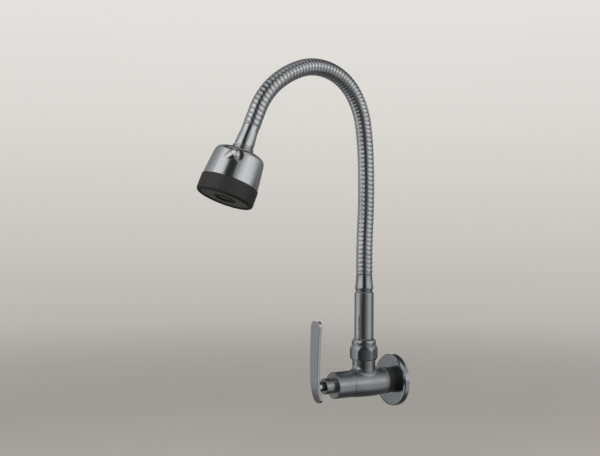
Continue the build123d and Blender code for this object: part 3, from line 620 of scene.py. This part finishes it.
def boss_and_dish(point, centre, out, along, tail):
    """A point on the toggle's side of the bell, sunk by the dish and raised by the boss."""
    dish = centre + along * tab_middle * MM
    away = ((point - dish) - out * (point - dish).dot(out)) / MM
    share = eased((dish_rim - away.length) / (dish_rim - dish_floor))
    share *= eased(0.5 - away.dot(tail) / dish_fade)
    point = point - out * dish_depth * share * MM
    ahead = (point - centre).dot(tail) / MM
    aside = abs((point - centre).dot(out.cross(tail))) / MM
    taper = max(1 - ahead / boss_length, 0.0) if ahead > 0 else 1.0
    if ahead < 0:
        aside = (aside ** 2 + ahead ** 2) ** 0.5
    width = boss_width * (boss_tip + (1 - boss_tip) * taper)
    fall = eased((width - aside) / (boss_edge * width))
    return point + out * (boss_rise * taper ** boss_fall * fall) * MM


def make_bell():
    """The bell, with a low tapering boss under the toggle and a shallow dish beside it."""
    origin, up, right, front = head_place()
    centre, out, along = toggle_place()
    tail = (-up.cross(out) - up).normalized()
    narrow = [toggle_bearing + narrow_column * k for k in range(-narrow_count, narrow_count + 1)]
    rest = 360 - 2 * narrow_count * narrow_column
    wide = [narrow[-1] + rest * k / wide_count for k in range(1, wide_count + 1)]
    bearings = narrow + wide
    rows = bell_rows()
    points = []
    for radius, height in rows:
        for bearing in bearings:
            outward = right * cos(radians(bearing)) + front * sin(radians(bearing))
            point = origin + up * height * MM + outward * radius * MM
            if (point - centre).dot(out) > 0 and radius > bell_neck:
                point = boss_and_dish(point, centre, out, along, tail)
            points.append(point)
    piece = mesh_piece("bell_skin", points, grid_faces(len(rows), len(bearings)), "chrome")
    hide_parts("head_shell")
    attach(piece, "head")


def nut_radius(turning, angle):
    """Hexagon with soft corners and slightly swollen flats, turned down to a lathe's profile."""
    corner = nut_flats / 2 / cos(pi / 6)
    away = angle % (pi / 3) - pi / 6
    flat = nut_flats / 2 / cos(away) + flat_swell * (1 - (away / (pi / 6)) ** 2)
    bound = min(turning, corner - corner_cut)
    return (flat ** -nut_sharpness + bound ** -nut_sharpness) ** (-1 / nut_sharpness)


def make_nut():
    """Union nut: rounded hexagon, a fine groove and a collar turned round the tube."""
    rows = [(11.2, 23.6), (12.2, 23.6), (12.9, 23.75), (13.6, 24.2), (14.15, 24.8),
            (14.6, 25.6), (14.95, 26.6), (15.2, 28.0), (15.3, 29.6), (15.3, 31.6),
            (15.2, 33.2), (14.95, 34.6), (14.6, 35.8), (14.15, 36.8), (13.6, 37.7),
            (13.1, 38.4), (12.65, 38.95), (12.3, 39.3), (12.2, 39.5), (12.35, 39.8),
            (12.6, 40.3), (12.75, 41.0), (12.75, 41.8), (12.65, 42.6), (12.4, 43.4),
            (12.0, 44.1), (11.5, 44.8), (10.9, 45.35), (10.4, 45.65), (10.1, 45.7)]
    around = 180
    points = []
    for turning, height in rows:
        for k in range(around + 1):
            angle = 2 * pi * k / around
            radius = nut_radius(turning, angle) * MM
            points.append(Vector((radius * cos(angle), radius * sin(angle), height * MM))
                          + Vector((0, -spout_forward * MM, 0)))
    piece = mesh_piece("nut_skin", points, grid_faces(len(rows), around + 1), "chrome",
                       turned_chrome)
    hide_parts("spout_nut")
    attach(piece, "spout")


def make_hub_shade_ring():
    """Black rubber ring on the lever's hub where it meets the gland: painted shade, a dark ring put
    where the hub is only in shadow.
    """
    profile = [(3.9, 88.5), (4.2, 88.5), (4.5, 88.7), (4.6, 89.0), (4.6, 91.4), (4.5, 91.8),
               (4.3, 92.0), (4.1, 92.0)]
    lathe_piece("hub_shade_ring", Vector((0, 0, 0)), Vector((0, -1, 0)), profile, "rubber", "lever")


# Brightness of the studio round the tap by the angle from the camera's side, right
# positive: in level directions, in those that rise a little and in those that rise more
level_greys = (
    (-180, 0.12), (-150, 0.12), (-128, 0.10), (-118, 0.26), (-100, 0.35), (-85, 0.44),
    (-60, 0.27), (-46, 0.10), (-32, 0.06), (-20, 0.03), (-7, 0.03), (5, 0.055), (17, 0.116),
    (30, 0.166), (43, 0.25), (56, 0.33), (71, 0.39), (87, 0.27), (105, 0.12), (119, 0.11),
    (150, 0.12), (180, 0.12),
)
shared_greys = (
    (-155, 0.22), (-137, 0.24), (-118, 0.28), (-96, 0.42), (-71, 0.74), (-46, 0.74),
    (-31, 0.54), (-21, 0.16), (-13, 0.035), (5, 0.03), (15, 0.05),
)
rising_greys = (
    (-180, 0.12), *shared_greys, (25, 0.34), (43, 0.62), (61, 0.70), (80, 0.62), (98, 0.42),
    (117, 0.24), (137, 0.15), (156, 0.10), (180, 0.10),
)
high_greys = (
    (-180, 0.10), *shared_greys, (25, 0.26), (43, 0.38), (61, 0.40), (80, 0.36), (98, 0.22),
    (117, 0.10), (137, 0.06), (156, 0.05), (180, 0.05),
)
gap_grey = 0.05
overhead_grey = 0.22
underneath_grey = 0.05

# Upward part of a direction, downward for the last, over which one gives way to the next
level_to_rising = (-0.09, 0.06)
rising_to_high = (0.30, 0.50)
high_to_gap = (0.70, 0.86)
gap_to_overhead = (0.88, 0.97)
down_to_underneath = (0.55, 0.85)

# Backdrop as metal sees it, a panel behind the tap: degrees over which it sets in at its
# sides, and upward or downward part of a direction over which it ends
panel_angles = (146, 176)
panel_rises = (0.10, 0.26)

# Backdrop's colour by the upward part of the direction
backdrop_stops = (
    (-0.247, (0.40, 0.38, 0.355)), (-0.20, (0.375, 0.357, 0.335)),
    (-0.084, (0.51, 0.49, 0.467)), (0.0, (0.60, 0.58, 0.55)), (0.126, (0.71, 0.69, 0.66)),
    (0.25, (0.78, 0.76, 0.73)),
)

# Lamps, in metres: their size, and the point in the tap that they aim at
lamp_size = 1.2
lamp_aim = (0, -0.1, 0.15)

# Floor in metres: its height, its rings, and the distances between which it gets clearer
floor_level = -0.16
floor_rings = (0.0, 0.3, 0.6, 0.9, 1.2, 1.6, 2.0, 2.5)
floor_fade = (0.25, 2.3)
floor_clearness = (0.35, 1.0)


def backdrop_colour(nodes, rise):
    """Soft grey-white backdrop, paler upwards."""
    place = nodes.math("ADD", rise, 0.5)
    return nodes.ramp(place, [(0.5 + z, colour) for z, colour in backdrop_stops], "LINEAR")


def set_world():
    """A pale studio, and for metal the soft boxes and the dark gaps round the tap."""
    world = bpy.data.worlds.new("studio")
    bpy.context.scene.world = world
    world.use_nodes = True
    nodes = Nodes(world.node_tree)
    out = nodes.add("ShaderNodeOutputWorld")
    direction = nodes.add("ShaderNodeTexCoord").outputs["Generated"]
    parts = nodes.add("ShaderNodeSeparateXYZ")
    nodes.join(direction, parts.inputs[0])
    x, y, z = parts.outputs
    back_x, back_y = camera_back.xy.normalized()
    towards = nodes.math("ADD", nodes.math("MULTIPLY", x, back_x),
                         nodes.math("MULTIPLY", y, back_y))
    sideways = nodes.math("ADD", nodes.math("MULTIPLY", x, -back_y),
                          nodes.math("MULTIPLY", y, back_x))
    angle = nodes.math("ARCTAN2", sideways, towards)
    place = nodes.math("ADD", nodes.math("DIVIDE", angle, 2 * pi), 0.5)
    level, rising, high = [
        nodes.ramp(place, [(0.5 + degree / 360, grey) for degree, grey in greys])
        for greys in (level_greys, rising_greys, high_greys)]
    shade = nodes.mix(nodes.smooth(z, *level_to_rising), level, rising)
    shade = nodes.mix(nodes.smooth(z, *rising_to_high), shade, high)
    shade = nodes.mix(nodes.smooth(z, *high_to_gap), shade, (gap_grey,) * 3)
    shade = nodes.mix(nodes.smooth(z, *gap_to_overhead), shade, (overhead_grey,) * 3)
    below = nodes.smooth(nodes.math("MULTIPLY", z, -1), *down_to_underneath)
    shade = nodes.mix(below, shade, (underneath_grey,) * 3)
    backdrop = backdrop_colour(nodes, z)
    panel_start, panel_end = [radians(degree) for degree in panel_angles]
    behind = nodes.smooth(nodes.math("ABSOLUTE", angle), panel_start, panel_end)
    level_with = nodes.smooth(nodes.math("ABSOLUTE", z), *panel_rises, 1.0, 0.0)
    shade = nodes.mix(nodes.math("MULTIPLY", behind, level_with), shade, backdrop)
    seen = nodes.add("ShaderNodeLightPath").outputs["Is Camera Ray"]
    shade = nodes.mix(seen, shade, backdrop)
    light = nodes.add("ShaderNodeBackground", in_Strength=1.0)
    nodes.join(shade, light.inputs["Color"])
    nodes.join(light.outputs[0], out.inputs["Surface"])


def add_lamp(name, place, power):
    """A soft lamp for the matt parts; metal sees the studio itself instead."""
    data = bpy.data.lights.new(name, "AREA")
    data.shape = "DISK"
    data.size = lamp_size
    data.energy = power
    lamp = bpy.data.objects.new(name, data)
    bpy.context.scene.collection.objects.link(lamp)
    lamp.location = place
    lamp.rotation_mode = "QUATERNION"
    lamp.rotation_quaternion = (Vector(lamp_aim) - Vector(place)).to_track_quat("-Z", "Y")
    lamp.visible_glossy = False


def make_floor():
    """Pale floor under the tap, which keeps its shadow and fades into the backdrop."""
    around = 64
    points = [(radius * cos(2 * pi * k / around), radius * sin(2 * pi * k / around), floor_level)
              for radius in floor_rings for k in range(around + 1)]
    mesh = bpy.data.meshes.new("floor")
    mesh.from_pydata(points, [], grid_faces(len(floor_rings), around + 1))
    floor = bpy.data.objects.new("floor", mesh)
    bpy.context.scene.collection.objects.link(floor)
    material = bpy.data.materials.new("pale_floor")
    material.use_nodes = True
    nodes = Nodes(material.node_tree)
    out = nodes.add("ShaderNodeOutputMaterial")
    where = nodes.add("ShaderNodeTexCoord").outputs["Object"]
    length = nodes.add("ShaderNodeVectorMath", operation="LENGTH")
    nodes.join(where, length.inputs[0])
    matt = nodes.add("ShaderNodeBsdfDiffuse")
    cloud = nodes.noise(scale=3.0, detail=2.0, where=where)
    nodes.join(nodes.mix(cloud, (0.62, 0.59, 0.55), (0.56, 0.53, 0.50)), matt.inputs["Color"])
    clear = nodes.add("ShaderNodeBsdfTransparent")
    mixed = nodes.add("ShaderNodeMixShader")
    fade = nodes.smooth(length.outputs["Value"], *floor_fade, *floor_clearness)
    nodes.join(fade, mixed.inputs["Fac"])
    nodes.join(matt.outputs[0], mixed.inputs[1])
    nodes.join(clear.outputs[0], mixed.inputs[2])
    nodes.join(mixed.outputs[0], out.inputs["Surface"])
    mesh.materials.append(material)
    floor.visible_glossy = False


bpy.context.scene.view_settings.view_transform = "Standard"
set_camera()
set_world()
add_lamp("key", place=(0.9, -1.2, 1.4), power=26)
add_lamp("fill", place=(1.4, 0.6, 0.9), power=12)
make_floor()
dress_nodes()
make_hose()
make_bell()
make_lower_ferrule()
make_upper_ferrule()
make_toggle()
make_nut()
make_hub_shade_ring()
